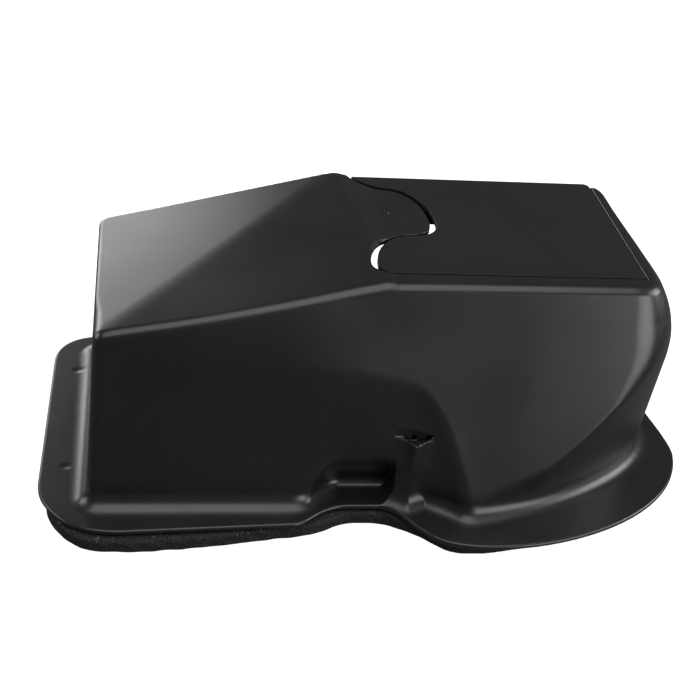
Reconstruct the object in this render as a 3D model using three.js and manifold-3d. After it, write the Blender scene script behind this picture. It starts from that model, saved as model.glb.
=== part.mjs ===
// Air filter housing: a thin moulded hood on a foam-sealed base flange, with a hinged access lid on top,
// a duct collar in the rear wall and a filter element held in a screwed-in carrier by four turn clips.
// Millimetres, +Z up, front towards -Y. Everything is drawn from the front-left corner of the flange
// (X to the right, Y rearwards, Z = 0 on top of the flange) and the whole group is then moved so that
// the origin is at the bottom centre of the part.

import * as THREE from 'three';
import { mergeVertices } from 'three/addons/utils/BufferGeometryUtils.js';
import Module from 'manifold-3d';

const wasm = await Module();
wasm.setup();

// ---- driving dimensions -------------------------------------------------------------------------

const WALL = 2.5;                 // moulded wall thickness
const GAP = 0.3;                  // gap between pieces that touch
const FLANGE = { left: -2.2, right: 331.7, front: -15, rear: 168.5, thick: 2.6 };
const FILM_THICK = 0.5;           // adhesive film between flange and foam
const BASE_Z = -11;               // underside of the foam, which the part stands on

const LEFT_WALL = 21.6;           // outer faces of the hood at the flange
const REAR_WALL = 153;
const RECESS_WALL = 16;           // front wall left of the bulge
const CORNER_R = 5;               // upright corners on the left
const DRAFT = { left: 0.034, recess: 0.08, rear: -0.048 };   // slope of those walls, mm per mm
const LEAN = { side: 0.014, right: -0.25 };                   // slope of the bulge's own walls

// The right wall leans in evenly and then rolls in towards the roof, more at the front than at the rear.
const SHOULDER = { draft: 0.03, from: 70, front: 16, rear: 12.3 };

const ROOF_Z = 115.6;             // flat top that holds the lid
const ROOF_CORNER = [28, 26, 93];                             // where the two roof facets start
const LEFT_FACET = { dx: 0.272, dy: -0.041 };                 // roof facet slopes from that corner
const MIDDLE_FACET = { dx: 0.1706, dy: 0.058 };
const PEAK = { x: 145, z: 120, end: 165 };                    // small hump at the rear of the ridge

// The sloping front face is ruled: how far back it is at the flange and at the roof's height.
const FRONT = {
  x: [20, 68, 110, 147, 185, 207, 300],
  foot: [11.5, 12, 4.7, -1.7, 2.3, 4.1, 4.1],
  head: [27.5, 27.3, 30.8, 34.6, 35.6, 35.8, 36.4],
  stretch: 1.04,                  // length across the wall per length along Y
};

const NOTCH = { left: 116, right: 212, back: 36.5, slope: 0.62, stretch: 1.16 };   // relief in the foot
const SCOOP = { left: 171.5, tip: 178.6, right: 189.5, back: 20, deep: 33, reach: 8, foot: 0.5, top: 39.5 };
const POCKET = { wall: 1.7, floor: 37.3, top: 43.2, left: 169, right: 187.5, back: 20.4, hole: 1.3 };

const LID = { front: 47, rear: 147.5, right: 287.3, slant: -0.027, corner: 3, thick: 2.5, gap: 1 };
const SEAM = { relief: 2.2, bow: 1.1 };                       // extra gap at the two hooks of the seam
const LID_SEAL = { low: 110.7, high: 112.8 };
const LID_RIB = { depth: 4, width: 1.5, x: [196, 276], y: [56, 132], rows: [66, 94, 122], columns: [205, 240] };
const LEDGE = { left: 168, rearLeft: 156, right: 284, thick: 2.6, wall: 33, front: 5, behind: 6 };
const WEB = { inner: 1, outer: 0.7, low: 0.6, high: 0.2 };    // thin web of the lid's film hinge

const INLET = { left: 70, right: 262, low: 45, high: 94, step: 122, lowTop: 80 };   // rear duct opening
const COLLAR = { wall: 2.2, lip: 5, lipThick: 2.2, inner: 146, outer: 165 };
const INLET_SEAL = { width: 5, thick: 7 };

const ELEMENT = { x: [37, 259], y: [44, 136], low: -2, high: 24.5, wall: 3.4 };   // filter element space
const TRAY = { wall: 2, top: 30, lip: 5, lipThick: 2, bars: [92, 148, 204] };
const PLATE = { low: -2.4, high: 0.2 };                       // carrier plate
const PLEATS = { count: 34, thick: 0.9 };

const SCREW = { shank: 1.5, hole: 1.9, head: 3.5, headThick: 1.9, top: 9 };
const CARRIER_SCREWS = [[38, 30], [108, 30], [240, 24], [38, 145], [170, 145], [285, 140]];
const PAD = { half: 6, low: 0.6, high: 12, front: 16, inner: 4.4, rear: 14 };
const CLIPS = [[75, 38.5, 1], [225, 36, 1], [75, 143, -1], [225, 143, -1]];   // x, y, way the arm points
const CLIP = { low: -5.4, high: -2.9, round: 5, arm: 19, hole: 2, boss: 4, bossTop: 8 };

// ---- materials ----------------------------------------------------------------------------------

function material(color, roughness, metalness) {
  return new THREE.MeshStandardMaterial({ color, roughness, metalness });
}

const SHELL_PLASTIC = material(0x141416, 0.5, 0);
const CARRIER_PLASTIC = material(0x1b1b1d, 0.6, 0);
const CLIP_PLASTIC = material(0x8c8f93, 0.5, 0);
const FOAM = material(0x101011, 0.95, 0);
const FILM = material(0xd9d9d2, 0.4, 0);
const PAPER = material(0xe8e4d8, 0.9, 0);
const FRAME_BOARD = material(0xd8d4c6, 0.85, 0);
const STEEL = material(0xb4b7bb, 0.35, 0.9);

// ---- solids -------------------------------------------------------------------------------------

// A three.js geometry as a closed solid that can be joined and cut.
function solid(geometry) {
  const bare = geometry.index ? geometry.toNonIndexed() : geometry;
  bare.deleteAttribute('normal');
  bare.deleteAttribute('uv');
  const merged = mergeVertices(bare, 1e-4);
  return new wasm.Manifold(new wasm.Mesh({
    numProp: 3,
    vertProperties: new Float32Array(merged.attributes.position.array),
    triVerts: new Uint32Array(merged.index.array),
  }));
}

// A finished solid as a flat-shaded mesh of the scene.
function piece(name, body, look) {
  const mesh = body.getMesh();
  const geometry = new THREE.BufferGeometry();
  geometry.setAttribute('position', new THREE.BufferAttribute(new Float32Array(mesh.vertProperties), 3));
  geometry.setIndex(new THREE.BufferAttribute(new Uint32Array(mesh.triVerts), 1));
  const node = new THREE.Mesh(geometry, look);
  node.name = name;
  return node;
}

function box(x0, x1, y0, y1, z0, z1) {
  const geometry = new THREE.BoxGeometry(x1 - x0, y1 - y0, z1 - z0);
  geometry.translate((x0 + x1) / 2, (y0 + y1) / 2, (z0 + z1) / 2);
  return solid(geometry);
}

// An upright prism of a plan shape, optionally with every point moved by warp(x, y, z) -> [x, y].
function prism(shape, z0, z1, warp, steps = 1) {
  const options = { depth: z1 - z0, bevelEnabled: false, curveSegments: 10, steps };
  const geometry = new THREE.ExtrudeGeometry(shape, options);
  geometry.translate(0, 0, z0);
  if (warp) {
    const p = geometry.attributes.position;
    for (let i = 0; i < p.count; i += 1) {
      const [x, y] = warp(p.getX(i), p.getY(i), p.getZ(i));
      p.setX(i, x);
      p.setY(i, y);
    }
  }
  return solid(geometry);
}

// A prism whose shape is drawn in the XZ plane and runs along Y.
function wallPrism(shape, y0, y1, warp) {
  const geometry = new THREE.ExtrudeGeometry(shape, { depth: y1 - y0, bevelEnabled: false, curveSegments: 5 });
  geometry.rotateX(Math.PI / 2);
  geometry.translate(0, y1, 0);
  if (warp) {
    const p = geometry.attributes.position;
    for (let i = 0; i < p.count; i += 1) p.setY(i, p.getY(i) + warp(p.getZ(i)));
  }
  return solid(geometry);
}

function cylinder(x, y, radius, z0, z1, sides = 20) {
  const geometry = new THREE.CylinderGeometry(radius, radius, z1 - z0, sides);
  geometry.rotateX(Math.PI / 2);
  geometry.translate(x, y, (z0 + z1) / 2);
  return solid(geometry);
}

// Everything on the side of a plane that its normal points to, as a large block.
function beyond(point, normal) {
  const size = 900;
  const geometry = new THREE.BoxGeometry(size, size, size);
  geometry.translate(0, 0, size / 2);
  const turn = new THREE.Quaternion().setFromUnitVectors(new THREE.Vector3(0, 0, 1), normal);
  geometry.applyQuaternion(turn);
  geometry.translate(point.x, point.y, point.z);
  return solid(geometry);
}

// ---- outlines -----------------------------------------------------------------------------------

function polygon(points) {
  return new THREE.Shape(points.map(([x, y]) => new THREE.Vector2(x, y)));
}

function rectangle(x0, x1, y0, y1) {
  return polygon([[x0, y0], [x1, y0], [x1, y1], [x0, y1]]);
}

// A closed outline moved inwards by a distance (outwards if it is negative).
function offset(shape, distance) {
  const points = shape.getPoints(12);
  if (points[0].distanceTo(points[points.length - 1]) < 1e-6) points.pop();
  const turn = THREE.ShapeUtils.isClockWise(points) ? -1 : 1;
  const moved = points.map((point, i) => {
    const before = points[(i + points.length - 1) % points.length];
    const after = points[(i + 1) % points.length];
    const a = point.clone().sub(before).normalize();
    const b = after.clone().sub(point).normalize();
    const inward = new THREE.Vector2(-(a.y + b.y), a.x + b.x).multiplyScalar(turn).normalize();
    const stretch = Math.max(0.5, Math.sqrt((1 + a.dot(b)) / 2));
    return point.clone().addScaledVector(inward, distance / stretch);
  });
  return new THREE.Shape(moved);
}

// A polygon with every corner rounded by the same radius.
function rounded(points, radius) {
  const shape = new THREE.Shape();
  const corners = points.map(([x, y]) => new THREE.Vector2(x, y));
  corners.forEach((corner, i) => {
    const before = corners[(i + corners.length - 1) % corners.length];
    const after = corners[(i + 1) % corners.length];
    const start = corner.clone().add(before.clone().sub(corner).setLength(radius));
    const end = corner.clone().add(after.clone().sub(corner).setLength(radius));
    if (i === 0) shape.moveTo(start.x, start.y);
    else shape.lineTo(start.x, start.y);
    shape.quadraticCurveTo(corner.x, corner.y, end.x, end.y);
  });
  shape.closePath();
  return shape;
}

// The flange: nearly straight at the left and back, a relief in the front edge, then the bulge.
function flangeOutline() {
  const { left, right, front, rear } = FLANGE;
  const s = new THREE.Shape();
  s.moveTo(38, -2.6);
  s.lineTo(120, 2.2);
  s.bezierCurveTo(130, 2.8, 134, 16.2, 149, 16.2);
  s.lineTo(164, 16.2);
  s.bezierCurveTo(173, 16.2, 178, 4, 187, -6);
  s.bezierCurveTo(193, -12.5, 204, front, 218, front);
  s.bezierCurveTo(262, front, 322, 12, right - 0.4, 60);
  s.bezierCurveTo(right + 1.7, 75, 324, 108, 321, 142);
  s.bezierCurveTo(320.5, 158, 311, rear, 295, rear);
  s.lineTo(26, rear);
  s.bezierCurveTo(12, rear, 0, 160, 0, 143);
  s.lineTo(left, 36);
  s.bezierCurveTo(left, 26, 0, 20, 5.5, 12.5);
  s.bezierCurveTo(11, 5, 18, -2.4, 38, -2.6);
  return s;
}

// The foam under the flange: proud of it at the front left, flush in the relief, set back at the bulge.
function gasketOutline() {
  const s = new THREE.Shape();
  s.moveTo(26, -5.4);
  s.bezierCurveTo(44, -7.6, 78, -4, 104, 1.4);
  s.bezierCurveTo(116, 3.6, 124, 4, 131, 6);
  s.bezierCurveTo(139, 8.5, 144, 14.2, 154, 14.6);
  s.bezierCurveTo(166, 15, 174, 11, 182, 5.5);
  s.bezierCurveTo(190, 0, 194, -9, 206, -9);
  s.bezierCurveTo(252, -9, 323.5, 24, 323.5, 66);
  s.bezierCurveTo(323.5, 90, 318, 114, 317, 142);
  s.bezierCurveTo(316.5, 156, 307, 165, 293, 165);
  s.lineTo(26, 165);
  s.bezierCurveTo(13, 165, 2, 158, 2, 143);
  s.lineTo(1.6, 28);
  s.bezierCurveTo(1.6, 14, 14, -3, 26, -5.4);
  return s;
}

// The bulge of the hood at the flange: slanting side wall, straight front, long curved right wall.
function bulgeOutline() {
  const s = new THREE.Shape();
  s.moveTo(172, REAR_WALL);
  s.lineTo(172, 30.5);
  s.lineTo(206.3, 5.9);
  s.bezierCurveTo(250, 13.5, 313, 45, 314, 80);
  s.bezierCurveTo(314, 104, 306, 122, 305.5, 146);
  s.bezierCurveTo(305.5, 150, 303, REAR_WALL, 298.5, REAR_WALL);
  s.closePath();
  return s;
}

function recessOutline(inset) {
  const r = CORNER_R - inset;
  const [x0, x1] = [LEFT_WALL + inset, 200];
  const [y0, y1] = [RECESS_WALL + inset, REAR_WALL - inset];
  const s = new THREE.Shape();
  s.moveTo(x0 + r, y0);
  s.lineTo(x1, y0);
  s.lineTo(x1, y1);
  s.lineTo(x0 + r, y1);
  s.absarc(x0 + r, y1 - r, r, Math.PI / 2, Math.PI, false);
  s.lineTo(x0, y0 + r);
  s.absarc(x0 + r, y0 + r, r, Math.PI, Math.PI * 1.5, false);
  return s;
}

// The relief in the foot of the front wall. Its sloping right end runs along the bulge's side wall.
function notchOutline(inset) {
  const grow = inset * NOTCH.stretch;
  const left = NOTCH.left - grow;
  const back = NOTCH.back + grow;
  const out = [grow * 0.6, grow * 0.8];
  const s = new THREE.Shape();
  s.moveTo(left, -60);
  s.lineTo(left, 12);
  s.bezierCurveTo(left + 13, 14, left + 17, back, 147 - out[0] / 2, back);
  s.lineTo(163 + out[0] / 2, back);
  s.bezierCurveTo(174 + out[0], back, 180 + out[0], 30 + out[1], 186 + out[0], 23 + out[1]);
  s.lineTo(NOTCH.right + out[0], 2 + out[1]);
  s.lineTo(NOTCH.right + out[0], -60);
  s.closePath();
  return s;
}

// The seam between lid and roof: a hook of the roof over a hook of the lid. side is +1 for the lid's
// edge and -1 for the roof's, each half a gap from the seam, with extra relief at the tip of its hook.
function seam(shape, side) {
  const d = side * LID.gap / 2;
  const roofTip = d + (side > 0 ? SEAM.relief : 0);
  const lidTip = d - (side < 0 ? SEAM.relief : 0);
  const bow = d + (side > 0 ? SEAM.bow : 0);
  shape.bezierCurveTo(160 + d, LID.front - 0.2 + d, 156.5 + lidTip, 50, 157 + lidTip, 57);
  shape.bezierCurveTo(157.5 + lidTip, 70, 165 + d, 84 - d, 178 + d, 84.5 - d);
  shape.bezierCurveTo(186 + roofTip, 84.8 - d, 190 + roofTip, 90, 189.7 + roofTip, 99);
  shape.bezierCurveTo(190 + roofTip, 114, 184 + bow, 131 + bow, 172 + bow, 133.2 + bow);
  shape.bezierCurveTo(163 + bow, 134.5 + bow, 156.5 + bow, 140 + bow, 153.8 + bow, LID.rear);
}

// X of the lid's right edge, along which its hinge lies.
function hingeLine(y) {
  return LID.right + LID.slant * (y - LID.front);
}

function lidOutline() {
  const { front, rear, corner } = LID;
  const s = new THREE.Shape();
  s.moveTo(hingeLine(front), front);
  s.lineTo(166, front);
  seam(s, 1);
  s.lineTo(hingeLine(rear) - corner, rear);
  s.quadraticCurveTo(hingeLine(rear), rear, hingeLine(rear - corner), rear - corner);
  s.closePath();
  return s;
}

function lidOpeningOutline() {
  const near = LID.front - LID.gap;
  const far = LID.rear + 20;
  const s = new THREE.Shape();
  s.moveTo(hingeLine(near) + LID.gap, near);
  s.lineTo(166, near);
  seam(s, -1);
  s.lineTo(153.3, far);
  s.lineTo(hingeLine(far) + LID.gap, far);
  s.closePath();
  return s;
}

function inletOutline(inset) {
  const { left, right, low, high, step, lowTop } = INLET;
  const shape = rounded([[left, low], [right, low], [right, high], [step, high], [left, lowTop]], 8);
  return inset === 0 ? shape : offset(shape, inset);
}

// ---- the hood -----------------------------------------------------------------------------------

const mix = (a, b, t) => a + (b - a) * Math.min(1, Math.max(0, t));

function recessWarp(x, y, z) {
  const inX = DRAFT.left * z * mix(1, 0, (x - 30) / 170);
  const inY = z * mix(DRAFT.recess, DRAFT.rear, (y - 30) / 110);
  return [x + inX, y + inY];
}

function bulgeWarp(x, y, z) {
  const front = mix(LEAN.side, LEAN.right, (x - 205) / 40);
  const inY = z * mix(front, DRAFT.rear, (y - 70) / 60);
  const over = Math.max(0, z - SHOULDER.from) / (ROOF_Z - SHOULDER.from);
  const roll = mix(SHOULDER.front, SHOULDER.rear, (y - 60) / 75) * over * over;
  const inX = (SHOULDER.draft * z + roll) * mix(0, 1, (x - 215) / 80);
  return [x - inX, y + inY];
}

// The value at x of a line drawn through the front face's stations.
function atStation(values, x) {
  const stations = FRONT.x;
  const next = stations.findIndex((station) => station > x);
  if (next === 0) return values[0];
  if (next < 0) return values[values.length - 1];
  const t = (x - stations[next - 1]) / (stations[next] - stations[next - 1]);
  return mix(values[next - 1], values[next], t);
}

// Everything in front of the sloping front face, moved rearwards by inset. With steep set to false the
// face is upright, straight above and below its foot.
function beforeFront(inset, z0, z1, steep = true) {
  const [x0, x1, reach] = [-10, 350, 100];
  const geometry = new THREE.BoxGeometry(x1 - x0, reach, z1 - z0, 45, 1, 1);
  geometry.translate((x0 + x1) / 2, -reach / 2, (z0 + z1) / 2);
  const p = geometry.attributes.position;
  for (let i = 0; i < p.count; i += 1) {
    if (p.getY(i) > -reach / 2) {
      const foot = atStation(FRONT.foot, p.getX(i));
      const head = atStation(FRONT.head, p.getX(i));
      const rise = steep ? p.getZ(i) / ROOF_Z : 0;
      p.setY(i, foot + (head - foot) * rise + inset * FRONT.stretch);
    }
  }
  return solid(geometry);
}

// The roof facet with the given slopes through the roof corner, lowered by inset, and all above it.
function aboveFacet(facet, inset) {
  const normal = new THREE.Vector3(-facet.dx, -facet.dy, 1).normalize();
  return beyond(new THREE.Vector3(...ROOF_CORNER).addScaledVector(normal, -inset), normal);
}

function aboveTop(inset) {
  const slope = (PEAK.z - ROOF_Z) / (PEAK.end - PEAK.x);
  const drop = (z) => z - inset;
  const far = PEAK.x - 80;
  return wallPrism(polygon([
    [far, 300], [far, drop(PEAK.z + slope * 80)], [PEAK.end, drop(ROOF_Z)], [500, drop(ROOF_Z)], [500, 300],
  ]), -100, 300);
}

// The hood as one solid, with every face moved inwards by inset.
function hood(inset) {
  const recess = prism(recessOutline(inset), -4, 126, recessWarp);
  const bulge = prism(offset(bulgeOutline(), inset), -4, 116, bulgeWarp, 12);
  const notch = prism(notchOutline(inset), -6, 60, (x, y, z) => [x, y - NOTCH.slope * Math.max(0, z)], 11);
  return recess.add(bulge)
    .subtract(beforeFront(inset, -10, 130))
    .subtract(aboveFacet(LEFT_FACET, inset))
    .subtract(aboveFacet(MIDDLE_FACET, inset))
    .subtract(aboveTop(inset))
    .subtract(notch);
}

// The area inside the foot of the hood, as an upright prism.
function footprint(inset, z0, z1) {
  return prism(recessOutline(inset), z0, z1)
    .add(prism(offset(bulgeOutline(), inset), z0, z1))
    .subtract(beforeFront(inset, z0 - 1, z1 + 1, false))
    .subtract(prism(notchOutline(inset), z0 - 1, z1 + 1));
}

// A wedge on the front wall that stands out further the higher it is, from z0 to z1.
function scoop(inset, z0, z1) {
  const { left, tip, right, back, deep, reach, foot, top } = SCOOP;
  const outline = polygon([
    [left + inset, back], [tip, back - reach + inset * 1.35], [right - inset, back],
    [right - inset, deep], [left + inset, deep],
  ]);
  const warp = (x, y, z) => [x, y < back ? back - (back - y) * mix(foot, 1, z / top) : y];
  return prism(outline, z0, z1, warp);
}

// The hollow behind the scoop's lip: a shallow recess in the wall and one small hole through it.
function pocket() {
  const { wall, floor, top, left, right, back, hole } = POCKET;
  const behind = box(left, right, back, 50, floor - 1, top + 5);
  const inScoop = scoop(wall, floor, SCOOP.top + 0.5).subtract(behind);
  const inWall = box(left, right, 10, back, SCOOP.top, top);
  const through = box(SCOOP.tip - hole, SCOOP.tip + hole, 18, 31, floor + 0.3, floor + 0.3 + 2 * hole);
  return inScoop.add(inWall).add(through);
}

function screwPads() {
  const { half, low, high, front, inner, rear } = PAD;
  const around = CARRIER_SCREWS.map(([x, y]) => {
    const [y0, y1] = y < 80 ? [y - front, y + half] : [y - inner, y + rear];
    return box(x - half, x + half, y0, y1, low, high);
  });
  const holes = CARRIER_SCREWS.map(([x, y]) => cylinder(x, y, SCREW.hole, low - 1, SCREW.top + 1.5));
  const pads = around.reduce((all, pad) => all.add(pad));
  return holes.reduce((all, hole) => all.subtract(hole), pads).intersect(hood(WALL / 2));
}

// The ledges under the front and rear edges of the lid, which carry its seal strips.
function lidLedges() {
  const { left, rearLeft, right, thick, wall, front, behind } = LEDGE;
  const top = LID_SEAL.low - GAP;
  const low = top - thick;
  const frontLedge = box(left, right, wall, LID.front + front, low, top)
    .add(box(left, right, wall, LID.front - LID.gap, low, ROOF_Z - 1));
  const rearLedge = box(rearLeft, right, LID.rear - 8, LID.rear + behind, low, top);
  return frontLedge.add(rearLedge).intersect(hood(WALL / 2));
}

function housingShell() {
  const flange = prism(flangeOutline(), -FLANGE.thick, 0);
  const outside = hood(0).subtract(box(-50, 400, -50, 300, -20, -FLANGE.thick));
  const lidOpening = prism(lidOpeningOutline(), LID_SEAL.low - GAP, 130);
  const inlet = wallPrism(inletOutline(0), REAR_WALL - 25, REAR_WALL + 20);
  return flange.add(outside)
    .add(scoop(0, -1, SCOOP.top))
    .subtract(hood(WALL))
    .add(screwPads())
    .add(lidLedges())
    .subtract(lidOpening)
    .subtract(inlet)
    .subtract(pocket());
}

// ---- lid ----------------------------------------------------------------------------------------

// The thin web along the hinge, a little below the lid's top face.
function hingeWeb() {
  const { inner, outer, low, high } = WEB;
  const near = LID.front + 2;
  const far = LID.rear - LID.corner - 1;
  return prism(polygon([
    [hingeLine(near) - inner, near], [hingeLine(near) + outer, near],
    [hingeLine(far) + outer, far], [hingeLine(far) - inner, far],
  ]), ROOF_Z - low, ROOF_Z - high);
}

function accessLid() {
  const low = ROOF_Z - LID.thick;
  const plate = prism(lidOutline(), low, ROOF_Z);
  const { depth, width, rows, columns, x, y } = LID_RIB;
  const half = width / 2;
  const ribs = rows.map((row) => box(...x, row - half, row + half, low - depth, low + 0.5));
  ribs.push(...columns.map((column) => box(column - half, column + half, ...y, low - depth, low + 0.5)));
  return ribs.reduce((lid, rib) => lid.add(rib), plate.add(hingeWeb()));
}

function lidSeal(y0, y1) {
  const [x0, x1] = [172, 280];
  return prism(rounded([[x0, y0], [x1, y0], [x1, y1], [x0, y1]], 1.5), LID_SEAL.low, LID_SEAL.high);
}

// ---- base seal ----------------------------------------------------------------------------------

function sealRing(z0, z1, outerInset, innerInset) {
  return prism(offset(gasketOutline(), outerInset), z0, z1).subtract(footprint(innerInset, z0 - 1, z1 + 1));
}

// ---- rear duct collar ---------------------------------------------------------------------------

// A ring in the rear wall's own slope, between two insets of the inlet outline.
function inletRing(outer, inner, y0, y1) {
  const slope = (z) => DRAFT.rear * z;
  const around = wallPrism(inletOutline(outer), y0, y1, slope);
  return around.subtract(wallPrism(inletOutline(inner), y0 - 1, y1 + 1, slope));
}

function inletCollar() {
  const spigot = inletRing(GAP, GAP + COLLAR.wall, COLLAR.inner, COLLAR.outer);
  const lip = inletRing(-COLLAR.lip, 1, REAR_WALL + GAP, REAR_WALL + GAP + COLLAR.lipThick);
  return spigot.add(lip);
}

function inletSeal() {
  const start = REAR_WALL + COLLAR.lipThick + 2 * GAP;
  return inletRing(-INLET_SEAL.width + GAP, 0, start, start + INLET_SEAL.thick);
}

// ---- filter carrier and element -----------------------------------------------------------------

function filterCarrier() {
  const [x0, x1] = ELEMENT.x;
  const [y0, y1] = ELEMENT.y;
  const { wall, top, lip, lipThick, bars } = TRAY;
  const plate = footprint(WALL + 0.7, PLATE.low, PLATE.high);
  const tray = box(x0 - wall, x1 + wall, y0 - wall, y1 + wall, PLATE.low, top);
  const room = box(x0, x1, y0, y1, PLATE.low - 1, top - lipThick);
  const air = box(x0 + lip, x1 - lip, y0 + lip, y1 - lip, top - lipThick - 1, top + 1);
  const bosses = CLIPS.map(([x, y]) => cylinder(x, y, CLIP.boss, PLATE.low, CLIP.bossTop));
  const holes = CARRIER_SCREWS.map(([x, y]) => cylinder(x, y, SCREW.hole, -9, 3));
  const clipHoles = CLIPS.map(([x, y]) => cylinder(x, y, SCREW.hole, -9, CLIP.bossTop - 1));
  const middle = (y0 + y1) / 2;
  const bar = 1.5;
  const grid = bars.map((x) => box(x - bar, x + bar, y0 + lip - 1, y1 - lip + 1, top - lipThick, top));
  grid.push(box(x0 + lip - 1, x1 - lip + 1, middle - bar, middle + bar, top - lipThick, top));
  const tub = bosses.reduce((all, boss) => all.add(boss), plate.add(tray)).subtract(room).subtract(air);
  const barred = grid.reduce((all, rod) => all.add(rod), tub);
  return [...holes, ...clipHoles].reduce((all, hole) => all.subtract(hole), barred);
}

function elementRing(inset, wall, z0, z1) {
  const [x0, x1] = ELEMENT.x;
  const [y0, y1] = ELEMENT.y;
  return box(x0 + inset, x1 - inset, y0 + inset, y1 - inset, z0, z1)
    .subtract(box(x0 + wall, x1 - wall, y0 + wall, y1 - wall, z0 - 1, z1 + 1));
}

// Folded paper: a zigzag ribbon of constant upright thickness, extruded along the folds.
function pleatedMedia() {
  const start = ELEMENT.x[0] + ELEMENT.wall + GAP;
  const width = ELEMENT.x[1] - ELEMENT.wall - GAP - start;
  const [low, high] = [ELEMENT.low + 1.5, ELEMENT.high - 2.5];
  const rise = PLEATS.thick * 3;
  const fold = (i) => start + width * i / (2 * PLEATS.count);
  const under = [];
  const over = [];
  for (let i = 0; i <= 2 * PLEATS.count; i += 1) {
    const z = i % 2 === 0 ? low : high - rise;
    under.push([fold(i), z]);
    over.unshift([fold(i), z + rise]);
  }
  const [y0, y1] = ELEMENT.y;
  return wallPrism(polygon([...under, ...over]), y0 + ELEMENT.wall + GAP, y1 - ELEMENT.wall - GAP);
}

// ---- clips and screws ---------------------------------------------------------------------------

function screw(x, y, headTop, shankTop, headRadius) {
  const low = headTop - SCREW.headThick;
  const profile = [
    [0, low], [headRadius - 0.7, low], [headRadius, low + 0.9], [headRadius, headTop],
    [SCREW.shank, headTop], [SCREW.shank, shankTop - 1.5], [0.4, shankTop], [0, shankTop],
  ];
  const geometry = new THREE.LatheGeometry(profile.map(([r, z]) => new THREE.Vector2(r, z)), 16);
  geometry.rotateX(Math.PI / 2);
  geometry.translate(x, y, 0);
  return solid(geometry).subtract(cylinder(x, y, 1.5, low - 1, low + 1.2, 6));
}

function turnClip(x, y, way) {
  const { low, high, round, arm, hole } = CLIP;
  const tip = 3.5;
  const s = new THREE.Shape();
  s.absarc(0, 0, round, Math.PI, 2 * Math.PI, false);
  s.lineTo(tip, arm - tip);
  s.absarc(0, arm - tip, tip, 0, Math.PI, false);
  s.closePath();
  const place = (px, py) => [x + px * way, y + py * way];
  return prism(s, low, high, place).subtract(cylinder(x, y, hole, low - 1, high + 1));
}

// ---- assembly -----------------------------------------------------------------------------------

const part = new THREE.Group();
const body = new THREE.Group();
body.position.set(-(FLANGE.left + FLANGE.right) / 2, -(FLANGE.front + FLANGE.rear) / 2, -BASE_Z);
part.add(body);

const filmTop = -FLANGE.thick - GAP;
const foamTop = filmTop - FILM_THICK - GAP;
const sealTop = TRAY.top - TRAY.lipThick - GAP;

body.add(
  piece('housing_shell', housingShell(), SHELL_PLASTIC),
  piece('access_lid', accessLid(), SHELL_PLASTIC),
  piece('lid_seal_front', lidSeal(LID.front - 0.4, LID.front + 4.4), FOAM),
  piece('lid_seal_rear', lidSeal(LID.rear - 7.4, LID.rear - 2.6), FOAM),
  piece('flange_gasket', sealRing(BASE_Z, foamTop, 0, 1), FOAM),
  piece('gasket_adhesive_film', sealRing(filmTop - FILM_THICK, filmTop, 5.5, 0), FILM),
  piece('inlet_collar', inletCollar(), CARRIER_PLASTIC),
  piece('inlet_seal', inletSeal(), FOAM),
  piece('filter_carrier', filterCarrier(), CARRIER_PLASTIC),
  piece('filter_frame', elementRing(GAP, ELEMENT.wall, ELEMENT.low, ELEMENT.high), FRAME_BOARD),
  piece('filter_media', pleatedMedia(), PAPER),
  piece('filter_seal', elementRing(GAP, ELEMENT.wall + 1.4, ELEMENT.high + GAP, sealTop), FOAM),
);

CARRIER_SCREWS.forEach(([x, y], i) => {
  body.add(piece(`carrier_screw_${i + 1}`, screw(x, y, PLATE.low - GAP, SCREW.top, SCREW.head), STEEL));
});

CLIPS.forEach(([x, y, way], i) => {
  body.add(piece(`turn_clip_${i + 1}`, turnClip(x, y, way), CLIP_PLASTIC));
  body.add(piece(`clip_screw_${i + 1}`, screw(x, y, CLIP.low - GAP, CLIP.bossTop - 2, SCREW.head + 0.5), STEEL));
});

export default part;
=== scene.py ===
"""Air filter housing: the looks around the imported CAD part.

Shapes are worked out in millimetres from the flange's front-left corner, as in the CAD source
(X to the right, Y rearwards, Z = 0 on top of the flange), and moved to the part's frame at the end.
"""

import math
from concurrent.futures import ThreadPoolExecutor

import bpy
import numpy as np
from mathutils import Matrix, Vector


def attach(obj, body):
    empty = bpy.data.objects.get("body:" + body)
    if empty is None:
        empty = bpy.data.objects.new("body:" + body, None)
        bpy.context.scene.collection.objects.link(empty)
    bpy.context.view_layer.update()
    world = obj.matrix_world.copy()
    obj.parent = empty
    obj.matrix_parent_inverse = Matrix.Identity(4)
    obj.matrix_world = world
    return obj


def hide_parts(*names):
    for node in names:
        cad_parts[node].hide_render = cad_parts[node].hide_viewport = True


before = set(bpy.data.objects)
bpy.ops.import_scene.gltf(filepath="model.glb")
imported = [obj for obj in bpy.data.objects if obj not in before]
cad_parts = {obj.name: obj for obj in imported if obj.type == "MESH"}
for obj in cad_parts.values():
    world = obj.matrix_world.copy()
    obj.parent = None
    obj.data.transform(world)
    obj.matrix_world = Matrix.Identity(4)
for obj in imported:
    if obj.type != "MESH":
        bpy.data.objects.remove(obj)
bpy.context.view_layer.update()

ORIGIN = np.array([164.75, 76.75, -11.0])   # the part frame's origin, seen from the flange corner
MM = 0.001

WALL = 2.5
FLANGE_THICK = 2.6
FOAM_TOP, BASE_Z = -3.7, -11.0
ROOF_Z = 115.6
REAR_WALL = 153.0
REAR_LEAN = -0.048


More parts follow.
